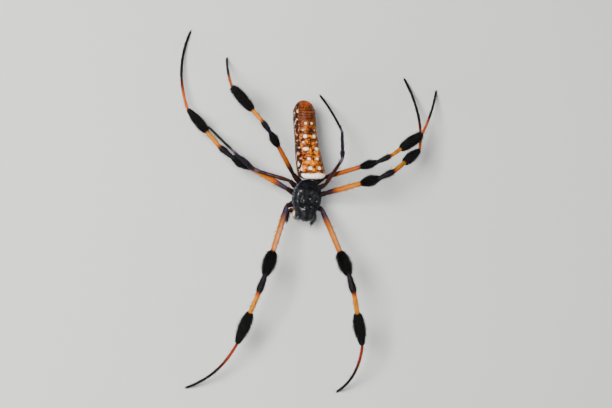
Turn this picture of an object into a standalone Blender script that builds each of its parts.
"""Golden silk orb weaver, an adult female at life size, standing on eight feet.

All sizes are millimetres; MM turns them into Blender's metres as each mesh is made.
The spider faces -Y with its back up, so its own left side is +X.
The body's sizes come first, then the legs' sizes, then the pose.
"""

import math
import random

import bmesh
import bpy
from mathutils import Matrix, Quaternion, Vector

MM = 0.001
GAP = 0.3  # between neighbouring plates and leg joints
EYE_GAP = 0.12  # an eye's socket is this much wider than the eye

# The front half of the body, the prosoma, in its own frame: its middle, level with the
# carapace's rim, is the origin, the head points to -Y and the back is up.
PROSOMA_HEIGHT = 10.0
PROSOMA_YAW, PROSOMA_ROLL, PROSOMA_PITCH = -6.0, 6.0, 5.0  # degrees
CARAPACE_LENGTH = 10.0
CARAPACE_HALF_WIDTH = 3.85
HEAD_HALF_WIDTH = 2.5
THORAX_HEIGHT = 1.9
HEAD_HEIGHT = 2.75
CARAPACE_RIM = 0.45  # thickness of the rim under the dome
HORN_PLACE = (0.9, -1.2)
HORN_HEIGHT = 0.95  # its foot sinks 0.2 into the back
STERNUM_CENTRE_Y = 1.5
STERNUM_HALF = (1.9, 3.0)
STERNUM_THICK = 1.9
COXA_ROOT_REACH = 1.19  # where a coxa starts, in sternum radii

# The back half, the abdomen, hangs off the pedicel and slopes down to its blunt rear end.
ABDOMEN_LENGTH = 19.6
ABDOMEN_FRONT = (1.0, 4.9, 12.6)
ABDOMEN_DROP = 4.0
ABDOMEN_DRIFT = -1.3  # sideways, from front to rear
ABDOMEN_HALF_WIDTH = 3.42
ABDOMEN_ROLL = 7.0

# The route of a pedipalp from beside the mouth, and its radius along that route.
PALP_ROUTE = (
    (1.55, -2.3, -1.9),
    (2.4, -2.75, -2.4),
    (3.05, -3.0, -2.3),
    (3.4, -3.9, -2.1),
    (3.35, -5.0, -2.5),
    (3.15, -6.0, -3.4),
)
PALP_RADII = (0.30, 0.38, 0.40, 0.36, 0.42, 0.40, 0.36, 0.32, 0.20)

# One spinning cone of each pair: sideways and rearward place, length and radius.
SPINNING_CONES = ((0.45, -0.45, 1.15, 0.36), (0.3, 0.05, 0.8, 0.26), (0.48, 0.5, 1.1, 0.34))

EYE_RADIUS = 0.3
# Sideways, forward and upward place of one eye of each pair, in the prosoma's frame.
EYES = {
    "front_middle": (0.42, -5.02, 1.05),
    "rear_middle": (0.50, -4.62, 1.95),
    "front_side": (1.62, -4.72, 0.95),
    "rear_side": (1.95, -4.20, 1.45),
}

# One row a pair of legs: lengths of femur, patella, tibia, then the limbs' radii.
LEGS = {
    1: {"femur": 20.2, "patella": 4.6, "tibia": 14.4, "thick": (0.70, 0.62, 0.60), "foot": 0.36, "bow": 1.7},
    2: {"femur": 16.0, "patella": 3.9, "tibia": 12.2, "thick": (0.66, 0.56, 0.55), "foot": 0.34, "bow": 1.9},
    3: {"femur": 10.4, "patella": 2.6, "tibia": 6.0, "thick": (0.47, 0.44, 0.44), "foot": 0.31, "bow": 0.3},
    4: {"femur": 14.4, "patella": 3.5, "tibia": 11.2, "thick": (0.56, 0.50, 0.50), "foot": 0.32, "bow": 0.5},
}
COXA_SWELL = (0.72, 0.95, 1.0, 0.95, 0.74, 0.80, 0.68)
FEMUR_SWELL = (0.72, 0.9, 1.0, 1.0, 0.95, 0.9, 0.88, 0.7)
PATELLA_SWELL = (0.72, 1.12, 1.24, 1.14, 0.72)
TIBIA_SWELL = (0.72, 0.95, 0.98, 0.92, 0.86, 0.8, 0.6)
# How much of the bend between femur and tibia lies at the near end of the patella.
KNEE_SHARE = {1: 0.5, 2: 0.5, 3: 0.9, 4: 0.5}
# Where the second leg joint, the hip, is in the prosoma's frame, and the angle round the
# sternum, from its front, at which the coxa starts.
HIPS = {1: (4.6, -2.0), 2: (5.1, 2.2), 3: (4.6, 4.2), 4: (4.0, 5.9)}
HIP_DEPTH = -0.6
COXA_ANGLES = {1: 44, 2: 75, 3: 105, 4: 138}
COXA_DEPTH = -1.45
COXA_RADII = {1: 0.80, 2: 0.78, 3: 0.70, 4: 0.78}

# The pose: compass bearing (0 is ahead, 90 the spider's left) and rise of the femur, then of
# the tibia, in degrees, and the spot on the floor where the foot stands.
POSE = {
    (1, "left"): (14, 36, 15, -23, (10.1, -47.7)),
    (1, "right"): (-23.4, 25, -18, -25, (-28.2, -46.2)),
    (2, "left"): (108.4, 44, 122.6, -36.5, (27.4, 30.4)),
    (2, "right"): (-119, 3, -142, -17, (-26.9, 41.6)),
    (3, "left"): (159, 49.9, 170.7, -38, (5.8, 26.0)),
    (3, "right"): (-105.4, 16.0, -127.3, 29.4, (-22.4, 18.0)),
    (4, "left"): (107.9, 29, 121, -21.5, (35.7, 27.3)),
    (4, "right"): (-144, 30, -141, -17, (-17.8, 35.0)),
}

# The brushes of stiff hair round the far end of femur and tibia: length along the leg,
# reach from the leg's axis, rings of locks and locks in a ring. The third legs have none.
BRUSHES = {
    (1, "femur"): (5.6, 1.80, 2, 5),
    (1, "tibia"): (7.8, 1.65, 3, 5),
    (2, "femur"): (4.4, 1.40, 2, 4),
    (2, "tibia"): (6.4, 1.40, 3, 5),
    (4, "femur"): (3.6, 1.15, 2, 4),
    (4, "tibia"): (6.6, 1.30, 3, 4),
}
LOCK_OVERLAP = 1.35  # a lock's length, in steps from ring to ring
LOCK_WIDTH = 0.52  # half width, in reaches of its brush
BRUSH_END = 0.9  # from the joint to the brush's far end
LOCK_THICK = 0.30  # half thickness
LOCK_BEND = 0.16  # how far its tip bends back, in lengths

COLOURS = {
    "carapace_black": (0.022, 0.022, 0.026, 1),
    "leg_brown": (0.055, 0.018, 0.010, 1),
    "leg_orange": (0.72, 0.26, 0.045, 1),
    "brush_black": (0.010, 0.010, 0.011, 1),
    "foot_black": (0.030, 0.014, 0.010, 1),
    "abdomen_orange": (0.62, 0.20, 0.035, 1),
    "eye_black": (0.004, 0.004, 0.004, 1),
}


def material(name, roughness=0.45):
    made = bpy.data.materials.get(name)
    if made is None:
        made = bpy.data.materials.new(name)
        made.use_nodes = True
        shader = made.node_tree.nodes["Principled BSDF"]
        shader.inputs["Base Color"].default_value = COLOURS[name]
        shader.inputs["Roughness"].default_value = roughness
        made.diffuse_color = COLOURS[name]
    return made


def turned(axis, degrees):
    return Matrix.Rotation(math.radians(degrees), 4, axis)


PROSOMA = (
    Matrix.Translation((0, 0, PROSOMA_HEIGHT))
    @ turned("Z", PROSOMA_YAW)
    @ turned("Y", PROSOMA_ROLL)
    @ turned("X", PROSOMA_PITCH)
)


def smooth_step(low, high, value):
    t = min(1.0, max(0.0, (value - low) / (high - low)))
    return t * t * (3 - 2 * t)


def bump(x, y, centre, width):
    """A rounded hill of height 1 at centre, falling away over width."""
    return math.exp(-((x - centre[0]) ** 2 + (y - centre[1]) ** 2) / (2 * width**2))


def heading(bearing, rise):
    """Unit vector at a compass bearing and a rise above level, in degrees."""
    b, r = math.radians(bearing), math.radians(rise)
    return Vector((math.cos(r) * math.sin(b), -math.cos(r) * math.cos(b), math.sin(r)))


def add_object(name, mesh, look, smooth=True):
    made = bpy.data.objects.new(name, mesh)
    bpy.data.collections["golden_silk_orb_weaver"].objects.link(made)
    mesh.materials.clear()
    mesh.materials.append(material(look))
    if smooth:
        mesh.shade_smooth()
    return made


def face_outward(work):
    """Turns the faces of one closed surface outward."""
    bmesh.ops.recalc_face_normals(work, faces=work.faces)
    if work.calc_volume(signed=True) < 0:
        bmesh.ops.reverse_faces(work, faces=work.faces)


def moulded(name, sides, rings, shape, look, frame=None):
    """A sphere with its poles on the Y axis, each point of which shape() moves to its place."""
    work = bmesh.new()
    bmesh.ops.create_uvsphere(work, u_segments=sides, v_segments=rings, radius=1.0)
    bmesh.ops.rotate(work, verts=work.verts, matrix=Matrix.Rotation(math.pi / 2, 3, "X"))
    for vertex in work.verts:
        place = Vector(shape(vertex.co.copy()))
        vertex.co = (frame @ place if frame else place) * MM
    face_outward(work)
    mesh = bpy.data.meshes.new(name)
    work.to_mesh(mesh)
    work.free()
    return add_object(name, mesh, look)


def tube(name, path, radii, look, roundness=2):
    """A round limb along path: a poly curve whose radius changes, made a mesh with its caps welded."""
    curve = bpy.data.curves.new(name, "CURVE")
    curve.dimensions = "3D"
    curve.bevel_depth = MM
    curve.bevel_resolution = roundness
    curve.use_fill_caps = True
    line = curve.splines.new("POLY")
    line.points.add(len(path) - 1)
    for point, place, radius in zip(line.points, path, radii):
        point.co = (*(Vector(place) * MM), 1)
        point.radius = radius
    holder = bpy.data.objects.new(name + "_curve", curve)
    bpy.context.scene.collection.objects.link(holder)
    bpy.context.view_layer.update()
    graph = bpy.context.evaluated_depsgraph_get()
    mesh = bpy.data.meshes.new_from_object(holder.evaluated_get(graph))
    bpy.data.objects.remove(holder)
    work = bmesh.new()
    work.from_mesh(mesh)
    bmesh.ops.remove_doubles(work, verts=work.verts, dist=0.00001)
    face_outward(work)
    work.to_mesh(mesh)
    work.free()
    mesh.name = name
    return add_object(name, mesh, look)


def fuse(base, pieces):
    """Joins pieces to base with one Boolean union, and drops the pieces."""
    group = bpy.data.collections.new(base.name + "_pieces")
    bpy.context.scene.collection.children.link(group)
    for piece in pieces:
        for holder in list(piece.users_collection):
            holder.objects.unlink(piece)
        group.objects.link(piece)
    joint = base.modifiers.new("union", "BOOLEAN")
    joint.operation = "UNION"
    joint.operand_type = "COLLECTION"
    joint.collection = group
    joint.solver = "MANIFOLD"
    bpy.context.view_layer.update()
    graph = bpy.context.evaluated_depsgraph_get()
    joined = bpy.data.meshes.new_from_object(base.evaluated_get(graph))
    base.modifiers.clear()
    base.data = joined
    for piece in pieces:
        bpy.data.objects.remove(piece)
    bpy.data.collections.remove(group)
    keep_largest(base)
    return base


def keep_largest(made):
    """Drops every closed surface of an object's mesh but the largest."""
    work = bmesh.new()
    work.from_mesh(made.data)
    shells, left = [], set(work.verts)
    while left:
        stack, shell = [left.pop()], []
        while stack:
            vertex = stack.pop()
            shell.append(vertex)
            for edge in vertex.link_edges:
                other = edge.other_vert(vertex)
                if other in left:
                    left.remove(other)
                    stack.append(other)
        shells.append(shell)
    shells.sort(key=len)
    bmesh.ops.delete(work, geom=[v for shell in shells[:-1] for v in shell], context="VERTS")
    work.to_mesh(made.data)
    work.free()


def cut(made, cutters):
    """Cuts the cutters out of a node, and drops them."""
    for cutter in cutters:
        tool = made.modifiers.new("cut", "BOOLEAN")
        tool.operation = "DIFFERENCE"
        tool.object = cutter
    bpy.context.view_layer.update()
    graph = bpy.context.evaluated_depsgraph_get()
    result = bpy.data.meshes.new_from_object(made.evaluated_get(graph))
    made.modifiers.clear()
    made.data = result
    for cutter in cutters:
        bpy.data.objects.remove(cutter)
    keep_largest(made)


def clear_of(made, other, gap=GAP):
    """Cuts a node back from its neighbour, to leave a gap that follows the neighbour's shape."""
    mesh = other.data.copy()
    normals = [Vector(v.normal) for v in mesh.vertices]
    for vertex, normal in zip(mesh.vertices, normals):
        vertex.co += normal * gap * MM
    swollen = add_object(other.name + "_swollen", mesh, "leg_brown")
    cut(made, [swollen])


def carapace_half_width(y):
    """The rim's half width at y: oval over the thorax, straight-sided at the head."""
    t = y / (CARAPACE_LENGTH / 2)
    oval = CARAPACE_HALF_WIDTH * math.sqrt(max(0.0, 1 - ((t - 0.12) / 0.92) ** 2)) if t > -0.8 else 0
    front = HEAD_HALF_WIDTH * max(0.0, 1 - max(0.0, -t - 0.72) ** 2 * 5.5)
    return max(oval, front * smooth_step(0.1, -0.35, t))


def carapace_height(x, y):
    """Height of the back above the rim: a low thorax, the raised head and a groove between."""
    t = y / (CARAPACE_LENGTH / 2)
    across = x / max(0.3, carapace_half_width(y))
    dome = max(0.0, 1 - min(1.0, abs(across)) ** 2.4) ** 0.6
    along = THORAX_HEIGHT * smooth_step(1.04, 0.45, t)
    head = (HEAD_HEIGHT - THORAX_HEIGHT) * smooth_step(-0.05, -0.45, t) * smooth_step(-1.08, -0.86, t)
    groove = 0.35 * math.exp(-(((abs(x) - 1.7 - 0.9 * (t + 0.25)) / 0.45) ** 2)) * smooth_step(-0.55, -0.1, t)
    groove *= smooth_step(0.25, 0.0, t)
    pit = 0.35 * bump(x, y, (0, 0.55), 0.4)
    return (along + head) * dome - groove - pit


def make_carapace():
    def shape(p):
        y = p.y * CARAPACE_LENGTH / 2
        around = math.hypot(p.x, p.z) or 1.0
        side, up = p.x / around, p.z / around
        x = side * max(0.25, carapace_half_width(y)) * min(1.0, around * 2.2)
        if up > 0.02:
            return (x, y, CARAPACE_RIM * 0.5 + max(0.15, carapace_height(x, y)) * min(1.0, up * 1.9))
        return (x * (1 - 0.25 * up * up), y, CARAPACE_RIM * 0.5 * (1 + 2 * max(up, -0.5)) - 0.22)

    made = moulded("carapace", 20, 18, shape, "carapace_black", PROSOMA)
    horns = []
    for side in (-1, 1):
        x, y = HORN_PLACE
        foot = carapace_height(x, y) - 0.2
        path = [PROSOMA @ Vector((side * (x + 0.06 * k), y, foot + HORN_HEIGHT * k / 2)) for k in (0, 1, 2)]
        horns.append(tube(f"horn_{side}", path, (0.34, 0.27, 0.12), "carapace_black", roundness=1))
    fuse(made, horns)
    sockets = []
    for kind, (x, y, z) in EYES.items():
        for side in (-1, 1):
            sockets.append(ball(f"socket_{kind}_{side}", (side * x, y, z), EYE_RADIUS + EYE_GAP))
    cut(made, sockets)
    return made


def ball(name, place, radius, look="eye_black"):
    def shape(p):
        return Vector(place) + p * radius

    return moulded(name, 8, 6, shape, look, PROSOMA)


def make_eyes():
    for kind, (x, y, z) in EYES.items():
        for side, word in ((1, "left"), (-1, "right")):
            ball(f"eye_{kind}_{word}", (side * x, y, z), EYE_RADIUS)


def sternum_edge(degrees, reach=1.0):
    """A point round the sternum's rim, counted from its front."""
    a = math.radians(degrees)
    return (
        STERNUM_HALF[0] * reach * math.sin(a),
        STERNUM_CENTRE_Y - STERNUM_HALF[1] * reach * math.cos(a),
    )


def make_sternum():
    def shape(p):
        narrow = 1 - 0.25 * max(0.0, p.y)
        x = p.x * STERNUM_HALF[0] * narrow
        y = STERNUM_CENTRE_Y + p.y * STERNUM_HALF[1]
        flat = math.copysign(abs(p.z) ** 0.55, p.z) if p.z else 0.0
        return (x, y, -GAP - 0.25 - STERNUM_THICK / 2 + flat * STERNUM_THICK / 2)

    moulded("sternum", 12, 8, shape, "carapace_black", PROSOMA)


def make_mouthparts():
    """The two maxillae with the labium between them, in front of the sternum."""
    pieces = []
    for side in (-1, 1):

        def maxilla(p, side=side):
            return (side * 0.62 + p.x * 0.56, -2.45 + p.y * 0.85, -1.85 + p.z * 0.55 - 0.1 * p.y)

        pieces.append(moulded(f"maxilla_{side}", 8, 7, maxilla, "leg_brown", PROSOMA))

    def labium(p):
        return (p.x * 0.5, -2.25 + p.y * 0.55, -1.95 + p.z * 0.5)

    base = moulded("mouthparts", 8, 7, labium, "leg_brown", PROSOMA)
    fuse(base, pieces)


def make_chelicera(side, word):
    """The stout jaw base under the head, and its fang folded inwards."""

    def shape(p):
        swell = 1 - 0.18 * p.y
        return (side * 0.98 + p.x * 0.80 * swell, -4.2 - 0.28 * p.y + p.z * 0.76, -2.3 - 2.0 * p.y)

    made = moulded(f"chelicera_{word}", 10, 9, shape, "carapace_black", PROSOMA)
    clear_of(made, bpy.data.objects["carapace"], GAP * 0.7)
    path = []
    for t in (0, 0.35, 0.7, 1.05):
        place = (side * (1.05 - 0.25 * t), -4.2 + 0.35 * t + 0.5 * t * t, -4.6 - 0.55 * math.sin(1.6 * t))
        path.append(PROSOMA @ Vector(place))
    tube(f"fang_{word}", path, (0.3, 0.27, 0.2, 0.09), "carapace_black")


def make_palp(side, word):
    """A pedipalp, from beside the mouth out and forward along the head."""
    route = [PROSOMA @ Vector((side * x, y, z)) for x, y, z in PALP_ROUTE]
    tube(f"pedipalp_{word}", smooth_path(route, len(PALP_RADII)), PALP_RADII, "leg_brown")


def smooth_path(points, count):
    """Points evenly spread on a Catmull-Rom curve through the given ones."""
    ends = [points[0] * 2 - points[1], *points, points[-1] * 2 - points[-2]]
    spans = len(points) - 1
    made = []
    for i in range(count):
        at = i / (count - 1) * spans
        k = min(spans - 1, int(at))
        t = at - k
        a, b, c, d = ends[k : k + 4]
        made.append(
            0.5 * (2 * b + (c - a) * t + (2 * a - 5 * b + 4 * c - d) * t**2 + (3 * b - a - 3 * c + d) * t**3)
        )
    return made


def abdomen_axis(t):
    """The abdomen's middle line, from 0 at the front to 1 at the rear."""
    x, y, z = ABDOMEN_FRONT
    bend = 1 - (1 - t) ** 2
    drop = ABDOMEN_DROP * (0.35 * t + 0.65 * bend)
    return Vector((x + ABDOMEN_DRIFT * bend, y + ABDOMEN_LENGTH * t, z - drop))


def abdomen_half_width(t):
    """Half width along the abdomen: broad shoulders, a slight waist, a blunt rear end."""
    body = ABDOMEN_HALF_WIDTH * (1 - 0.17 * smooth_step(0.1, 0.6, t) - 0.05 * smooth_step(0.75, 0.95, t))
    front = math.sqrt(max(0.0, 1 - (1 - min(1.0, t / 0.10)) ** 2.2))
    rear = math.sqrt(max(0.0, 1 - (1 - min(1.0, (1 - t) / 0.13)) ** 2.2))
    return body * front * rear


def make_abdomen():
    roll = turned("Y", ABDOMEN_ROLL)

    def shape(p):
        t = 0.5 + 0.5 * p.y
        around = math.hypot(p.x, p.z) or 1.0
        side, up = p.x / around, p.z / around
        half = abdomen_half_width(t) if around > 1e-4 else 0.0
        tall = half * (1.02 if up > 0 else 1.0 - 0.06 * t)
        hump = 0.35 * smooth_step(0.7, 0.9, t) * max(0.0, up) * (half / ABDOMEN_HALF_WIDTH)
        return abdomen_axis(t) + roll.to_3x3() @ Vector((side * half, 0, up * tall + hump))

    return moulded("abdomen", 20, 18, shape, "abdomen_orange")


def make_spinnerets():
    """Six short spinning cones on one mound under the rear end."""
    root = abdomen_axis(0.86) + Vector((0.15, 0, -2.5))

    def base(p):
        return root + Vector((p.x * 0.95, p.y * 1.05, p.z * 0.9))

    plate = moulded("spinnerets", 12, 8, base, "leg_brown")
    cones = []
    for i, (x, y, length, radius) in enumerate(SPINNING_CONES):
        for side in (-1, 1):
            start = root + Vector((side * x, y, -0.4))
            lean = Vector((side * 0.12, 0.42 * y, -1)).normalized()
            path = [start + lean * (length * k) for k in (0, 0.5, 0.85, 1.0)]
            radii = [radius * k for k in (1, 0.92, 0.7, 0.3)]
            cones.append(tube(f"cone_{i}_{side}", path, radii, "leg_brown", roundness=1))
    fuse(plate, cones)
    clear_of(plate, bpy.data.objects["abdomen"])


def make_pedicel():
    """The narrow waist between carapace and abdomen."""
    start = PROSOMA @ Vector((0, CARAPACE_LENGTH / 2 - 0.2, -0.35))
    end = abdomen_axis(0.1) + Vector((0, 0, -2.2))
    path = [start.lerp(end, k) for k in (0, 0.35, 0.7, 1)]
    made = tube("pedicel", path, (0.5, 0.6, 0.6, 0.6), "leg_brown")
    clear_of(made, bpy.data.objects["abdomen"])
    clear_of(made, bpy.data.objects["carapace"])


def leg_joints(pair, side):
    """Hip, knee, patella's end and ankle of one leg, and its foot's spot on the floor."""
    sizes, (b1, r1, b2, r2, spot) = LEGS[pair], POSE[pair, side]
    sign = 1 if side == "left" else -1
    hip = PROSOMA @ Vector((sign * HIPS[pair][0], HIPS[pair][1], HIP_DEPTH))
    femur, tibia = heading(b1, r1), heading(b2, r2)
    knee = hip + femur * sizes["femur"]
    patella = femur.lerp(tibia, KNEE_SHARE[pair]).normalized()
    patella_end = knee + patella * sizes["patella"]
    ankle = patella_end + tibia * sizes["tibia"]
    return hip, knee, patella_end, ankle, Vector((*spot, 0))


def trim(before, after, radius):
    """How far a limb stops short of a joint, to keep the gap on the inner side of the bend too."""
    bend = before.angle(after)
    return GAP / 2 + radius * math.tan(min(bend, 1.4) / 2)


def limb(name, ends, cuts, radii, look, bow=0.0):
    """A leg segment from joint to joint, cut short at both ends and bowed upward a little."""
    start, end = ends
    way = (end - start).normalized()
    first, last = start + way * cuts[0], end - way * cuts[1]
    up = Vector((0, 0, 1))
    across = (up - way * up.dot(way)).normalized()
    path = []
    for k in range(len(radii)):
        t = k / (len(radii) - 1)
        path.append(first.lerp(last, t) + across * bow * 4 * t * (1 - t))
    return tube(name, path, radii, look)


def lock(name, root, way, out, length, size, bend):
    """A flat lock of stiff hairs, widest above its root, that bends back to the leg as it tapers."""
    across = way.cross(out).normalized()
    width, thick = size

    def shape(p):
        t = 0.5 + 0.5 * p.y
        full = min(1.0, 0.75 + t) * (1 - 0.55 * t)
        place = root + way * (length * t) - out * (bend * t * t)
        return place + out * (p.z * thick * full) + across * (p.x * width * full)

    return moulded(name, 4, 4, shape, "brush_black")


def brush(made, start, end, core, size, seed):
    """Rings of locks round the far end of a leg segment, all leaning towards the foot."""
    draw = random.Random(seed)
    along, reach, rings, count = size
    way = (end - start).normalized()
    first = way.orthogonal().normalized()
    length = along / rings * LOCK_OVERLAP
    locks = []
    for ring in range(rings):
        share = ring / (rings - 1)
        root = end - way * (along - (along - length * 0.9) * share)
        # The brush is fullest at its near end and slims towards the foot.
        stand = (reach * (1 - 0.28 * share) - core) / length
        for k in range(count):
            angle = 2 * math.pi * (k + 0.5 * (ring % 2) + draw.uniform(-0.12, 0.12)) / count
            out = Quaternion(way, angle) @ first
            lean = math.asin(min(0.9, stand * draw.uniform(1.15, 1.4)))
            grow = (way * math.cos(lean) + out * math.sin(lean)).normalized()
            face = (out * math.cos(lean) - way * math.sin(lean)).normalized()
            foot = root + out * (core * 0.5)
            run = length * draw.uniform(0.92, 1.08)
            shape_size = (LOCK_WIDTH * reach * draw.uniform(0.9, 1.1), LOCK_THICK)
            locks.append(lock(f"lock_{ring}_{k}", foot, grow, face, run, shape_size, LOCK_BEND * run))
    fuse(made, locks)


def make_coxa(pair, side, hip, femur_way):
    """The short first part of a leg, from the sternum's edge to the hip."""
    name = f"leg_{pair}_{side}_coxa"
    sign = 1 if side == "left" else -1
    x, y = sternum_edge(COXA_ANGLES[pair], COXA_ROOT_REACH)
    root = PROSOMA @ Vector((sign * (x + GAP * 0.6), y, COXA_DEPTH))
    way = (hip - root).normalized()
    cuts = (0.1, trim(way, femur_way, LEGS[pair]["thick"][0] * 0.7))
    radii = [COXA_RADII[pair] * k for k in COXA_SWELL]
    made = limb(name, (root, hip), cuts, radii, "leg_brown")
    clear_of(made, bpy.data.objects["carapace"], GAP * 0.7)
    return way


def make_leg(pair, side):
    """One leg from its root to the floor, each segment its own node."""
    hip, knee, patella_end, ankle, spot = leg_joints(pair, side)
    sizes = LEGS[pair]
    thigh, shin, tail = sizes["thick"]
    spans = ((hip, knee), (knee, patella_end), (patella_end, ankle), (ankle, spot))
    ways = [(b - a).normalized() for a, b in spans]
    coxa_way = make_coxa(pair, side, hip, ways[0])
    name = f"leg_{pair}_{side}"
    hip_cut = trim(coxa_way, ways[0], thigh * 0.7)
    thigh_cut = trim(ways[0], ways[1], thigh * 0.7)
    knee_cut = trim(ways[0], ways[1], shin * 0.7)
    shin_cut = trim(ways[1], ways[2], shin * 0.75)
    ankle_cut = trim(ways[2], ways[3], tail * 0.6)
    radii = [thigh * k for k in FEMUR_SWELL]
    femur = limb(name + "_femur", spans[0], (hip_cut, thigh_cut), radii, "leg_orange", 0.02 * sizes["femur"])
    radii = [shin * k for k in PATELLA_SWELL]
    limb(name + "_patella", spans[1], (knee_cut, shin_cut), radii, "leg_brown", 0.05)
    radii = [tail * k for k in TIBIA_SWELL]
    tibia = limb(name + "_tibia", spans[2], (shin_cut, ankle_cut), radii, "leg_orange")
    if (pair, "femur") in BRUSHES:
        left = side == "left"
        end = knee - ways[0] * BRUSH_END
        brush(femur, hip, end, thigh * 0.85, BRUSHES[pair, "femur"], pair * 10 + left)
        end = ankle - ways[2] * BRUSH_END
        brush(tibia, patella_end, end, tail * 0.75, BRUSHES[pair, "tibia"], pair * 100 + left)
    make_foot(name + "_foot", ankle, spot, ways[2], sizes, trim(ways[2], ways[3], sizes["foot"]))


def make_foot(name, ankle, spot, shin_way, sizes, start):
    """Metatarsus and tarsus: one slender bow from ankle to floor, its tip cut flat where it stands."""
    chord = spot - ankle
    way = chord.normalized()
    across = (shin_way - way * shin_way.dot(way)).normalized()
    steps = 9
    path, radii = [], []
    for k in range(steps + 1):
        t = start / chord.length + (1 - start / chord.length) * k / steps
        path.append(ankle + chord * t + across * sizes["bow"] * 4 * t * (1 - t))
        radii.append(sizes["foot"] * (1 - 0.3 * smooth_step(0.0, 0.75, t)) * (0.8 if k == 0 else 1))
    path.append(path[-1] + Vector((0, 0, -0.2)) + way * 0.05)
    radii.append(radii[-1] * 0.9)
    made = tube(name, path, radii, "foot_black", roundness=1)
    work = bmesh.new()
    work.from_mesh(made.data)
    everything = [*work.verts, *work.edges, *work.faces]
    floor = {"plane_co": (0, 0, 0), "plane_no": (0, 0, 1)}
    cutting = bmesh.ops.bisect_plane(work, geom=everything, clear_inner=True, **floor)
    edges = [e for e in cutting["geom_cut"] if isinstance(e, bmesh.types.BMEdge)]
    bmesh.ops.holes_fill(work, edges=edges)
    face_outward(work)
    work.to_mesh(made.data)
    work.free()


def stand_on_origin():
    """Moves every node so that the floor under the middle of the whole is the origin."""
    parts = bpy.data.collections["golden_silk_orb_weaver"].objects
    places = [v.co for part in parts for v in part.data.vertices]
    middle = [(min(p[i] for p in places) + max(p[i] for p in places)) / 2 for i in (0, 1)]
    shift = Matrix.Translation((-middle[0], -middle[1], 0))
    for part in parts:
        part.data.transform(shift)
    print("prosoma centre is at", [round(c / MM, 3) for c in (-middle[0], -middle[1])])


def main():
    for old in list(bpy.data.objects):
        bpy.data.objects.remove(old)
    group = bpy.data.collections.new("golden_silk_orb_weaver")
    bpy.context.scene.collection.children.link(group)
    make_carapace()
    make_eyes()
    make_sternum()
    make_mouthparts()
    for side, word in ((1, "left"), (-1, "right")):
        make_chelicera(side, word)
        make_palp(side, word)
    make_abdomen()
    make_pedicel()
    make_spinnerets()
    for pair, side in POSE:
        make_leg(pair, side)
    stand_on_origin()


main()
